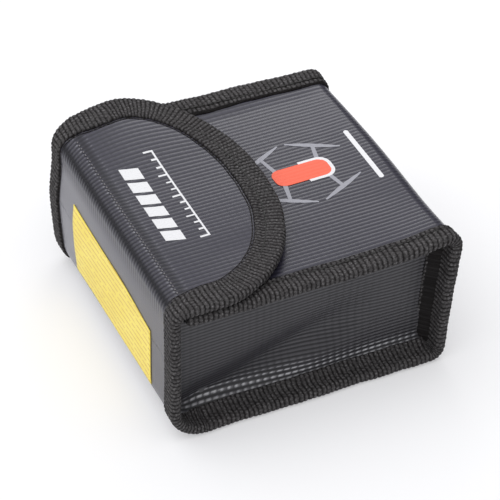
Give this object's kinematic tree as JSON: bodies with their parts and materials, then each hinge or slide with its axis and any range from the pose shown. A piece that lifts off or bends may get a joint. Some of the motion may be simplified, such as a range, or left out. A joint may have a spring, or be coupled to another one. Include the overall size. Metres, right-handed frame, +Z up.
{
  "type": "lipo battery safe bag",
  "caption": "Soft box-shaped fire-resistant pouch for small drone batteries, with a hinged lid and a rounded closing flap.",
  "frame": {"origin": "on the table, under the middle of the closed bag's box", "axes": "+X towards the bottom of the bag, away from the lid; +Y towards the right gusset, seen with the flap up and the front facing the viewer; +Z up, from the back panel to the front panel"},
  "size_m": [0.11, 0.1142, 0.0606],
  "materials": {
    "outer_cloth": "coated woven glass fibre, dark blue-grey, satin, fine ribs",
    "binding_tape": "heavy ribbed woven tape, matt olive-black",
    "lining": "plain woven glass-fibre lining, grey, slightly shiny",
    "label": "flat yellow sticker, plain",
    "fastener": "black hook and loop strip, fuzzy",
    "orange_print": "orange printed ink",
    "white_print": "white printed ink",
    "grey_print": "light grey printed ink"
  },
  "bodies": {
    "pouch": {"front_panel": "outer_cloth", "bottom_panel": "outer_cloth", "back_panel": "outer_cloth", "left_gusset": "outer_cloth", "right_gusset": "outer_cloth", "front_lining": "lining", "bottom_lining": "lining", "back_lining": "lining", "left_gusset_lining": "lining", "right_gusset_lining": "lining", "left_seam_tape": "binding_tape", "right_seam_tape": "binding_tape", "front_mouth_tape": "binding_tape", "loop_strip": "fastener"},
    "lid": {"lid_panel": "outer_cloth", "lid_lining": "lining", "lid_left_tape": "binding_tape", "lid_right_tape": "binding_tape", "label": "label"},
    "flap": {"flap_panel": "outer_cloth", "flap_lining": "lining", "flap_tape": "binding_tape", "hook_strip": "fastener"}
  },
  "joints": [
    {"name": "lid_hinge", "type": "hinge", "parent": "pouch", "child": "lid", "pos_m": [-0.0522, 0, 0.0028], "axis": [0, -1, 0], "range_deg": [0, 90]},
    {"name": "flap_hinge", "type": "hinge", "parent": "lid", "child": "flap", "pos_m": [-0.0537, 0, 0.0593], "axis": [0, -1, 0], "range_deg": [0, 90]}
  ]
}
